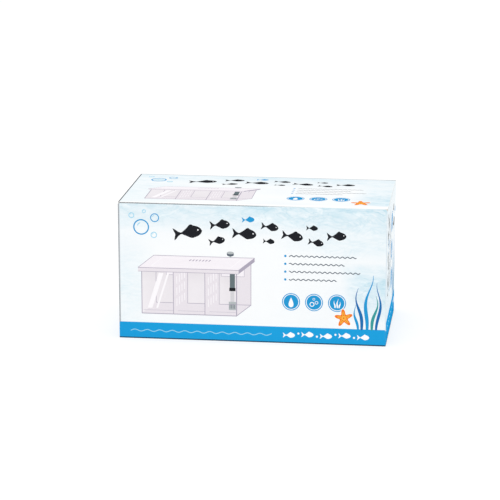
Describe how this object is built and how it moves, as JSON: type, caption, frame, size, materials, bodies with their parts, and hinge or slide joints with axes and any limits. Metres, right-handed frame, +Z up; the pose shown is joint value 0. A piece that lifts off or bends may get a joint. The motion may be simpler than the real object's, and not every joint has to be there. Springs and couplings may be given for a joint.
{
  "type": "boxed fish breeding box",
  "caption": "Printed folding carton with a tuck lid, holding a clear hang-on fish breeding box with cover, dividers, troughs, levelling feet and an air lift tube.",
  "frame": {"origin": "middle of the carton's underside", "axes": "+X along the carton to the right as seen from its front, +Y from the front towards the rear, +Z up"},
  "size_m": [0.275, 0.142, 0.143],
  "materials": {
    "printed_board": "coated white board with a pale blue offset print and a thin gloss varnish",
    "plain_board": "uncoated white board",
    "clear_plastic": "clear moulded plastic with a faint lilac tint",
    "dark_grey_plastic": "moulded dark grey plastic, half gloss",
    "black_plastic": "moulded black plastic, satin",
    "grey_plastic": "moulded grey plastic, satin",
    "light_grey_plastic": "moulded light grey plastic, satin",
    "soft_pad": "soft matt pad"
  },
  "bodies": {
    "carton": {"carton_shell": "printed_board", "bottom_panel": "printed_board", "bottom_dust_flap_left": "plain_board", "bottom_dust_flap_right": "plain_board"},
    "lid": {"carton_lid": "printed_board"},
    "flap_left": {"dust_flap_left": "plain_board"},
    "flap_right": {"dust_flap_right": "plain_board"},
    "product": {"tank": "clear_plastic", "inlet_trough": "clear_plastic", "outlet_trough": "clear_plastic", "lift_elbow": "dark_grey_plastic", "lift_tube_upper": "dark_grey_plastic", "tube_collar": "black_plastic"},
    "cover": {"tank_cover": "clear_plastic"},
    "divider_l": {"divider_left": "clear_plastic"},
    "divider_r": {"divider_right": "clear_plastic"},
    "grille": {"outlet_grille": "grey_plastic"},
    "knob": {"flow_knob": "grey_plastic", "valve_disc": "grey_plastic"},
    "lower_tube": {"lift_tube_lower": "clear_plastic"},
    "strainer": {"strainer": "grey_plastic", "air_nipple": "light_grey_plastic"},
    "pad_left": {"level_pad_left": "soft_pad"},
    "screw_left": {"level_screw_left": "grey_plastic"},
    "pad_right": {"level_pad_right": "soft_pad"},
    "screw_right": {"level_screw_right": "grey_plastic"}
  },
  "joints": [
    {"name": "carton_lid_hinge", "type": "hinge", "parent": "carton", "child": "lid", "pos_m": [0, 0.071, 0.143], "axis": [-1, 0, 0], "range_deg": [0, 240]},
    {"name": "dust_flap_left_hinge", "type": "hinge", "parent": "carton", "child": "flap_left", "pos_m": [-0.1375, 0, 0.1423], "axis": [0, -1, 0], "range_deg": [0, 245]},
    {"name": "dust_flap_right_hinge", "type": "hinge", "parent": "carton", "child": "flap_right", "pos_m": [0.1375, 0, 0.1423], "axis": [0, 1, 0], "range_deg": [0, 245]},
    {"name": "product_lift", "type": "slide", "parent": "carton", "child": "product", "axis": [0, 0, 1], "range_m": [0, 0.12]},
    {"name": "cover_lift", "type": "slide", "parent": "product", "child": "cover", "axis": [0, 0, 1], "range_m": [0, 0.028]},
    {"name": "divider_left_lift", "type": "slide", "parent": "product", "child": "divider_l", "axis": [0, 0, 1], "range_m": [0, 0.02]},
    {"name": "divider_right_lift", "type": "slide", "parent": "product", "child": "divider_r", "axis": [0, 0, 1], "range_m": [0, 0.02]},
    {"name": "grille_lift", "type": "slide", "parent": "product", "child": "grille", "axis": [0, 0, 1], "range_m": [0, 0.016]},
    {"name": "flow_knob_turn", "type": "hinge", "parent": "product", "child": "knob", "pos_m": [-0.092, 0.035, 0.111], "axis": [0, 0, 1], "range_deg": [0, 90]},
    {"name": "lower_tube_slide", "type": "slide", "parent": "product", "child": "lower_tube", "axis": [0, 0, 1], "range_m": [0, 0.012]},
    {"name": "strainer_turn", "type": "hinge", "parent": "lower_tube", "child": "strainer", "pos_m": [-0.092, 0.052, 0.02], "axis": [0, 0, 1], "range_deg": [-40, 40]},
    {"name": "level_screw_left_turn", "type": "hinge", "parent": "pad_left", "child": "screw_left", "pos_m": [-0.06, 0.03, 0.0192], "axis": [0, 1, 0], "range_deg": [0, 1100]},
    {"name": "level_pad_left_travel", "type": "slide", "parent": "product", "child": "pad_left", "axis": [0, 1, 0], "range_m": [0, 0.0045]},
    {"name": "level_screw_right_turn", "type": "hinge", "parent": "pad_right", "child": "screw_right", "pos_m": [0.062, 0.03, 0.0192], "axis": [0, 1, 0], "range_deg": [0, 1100]},
    {"name": "level_pad_right_travel", "type": "slide", "parent": "product", "child": "pad_right", "axis": [0, 1, 0], "range_m": [0, 0.0045]}
  ],
  "couplings": [
    {"joint": "dust_flap_left_hinge", "follows": "carton_lid_hinge", "ratio": 1},
    {"joint": "dust_flap_right_hinge", "follows": "carton_lid_hinge", "ratio": 1},
    {"joint": "product_lift", "follows": "carton_lid_hinge", "m_per_rad": 0.028},
    {"joint": "cover_lift", "follows": "carton_lid_hinge", "m_per_rad": 0.006},
    {"joint": "divider_left_lift", "follows": "carton_lid_hinge", "m_per_rad": 0.0042},
    {"joint": "divider_right_lift", "follows": "carton_lid_hinge", "m_per_rad": 0.0042},
    {"joint": "grille_lift", "follows": "carton_lid_hinge", "m_per_rad": 0.0034},
    {"joint": "level_screw_left_turn", "follows": "level_pad_left_travel", "rad_per_m": 4188.8},
    {"joint": "level_screw_right_turn", "follows": "level_pad_right_travel", "rad_per_m": 4188.8}
  ]
}
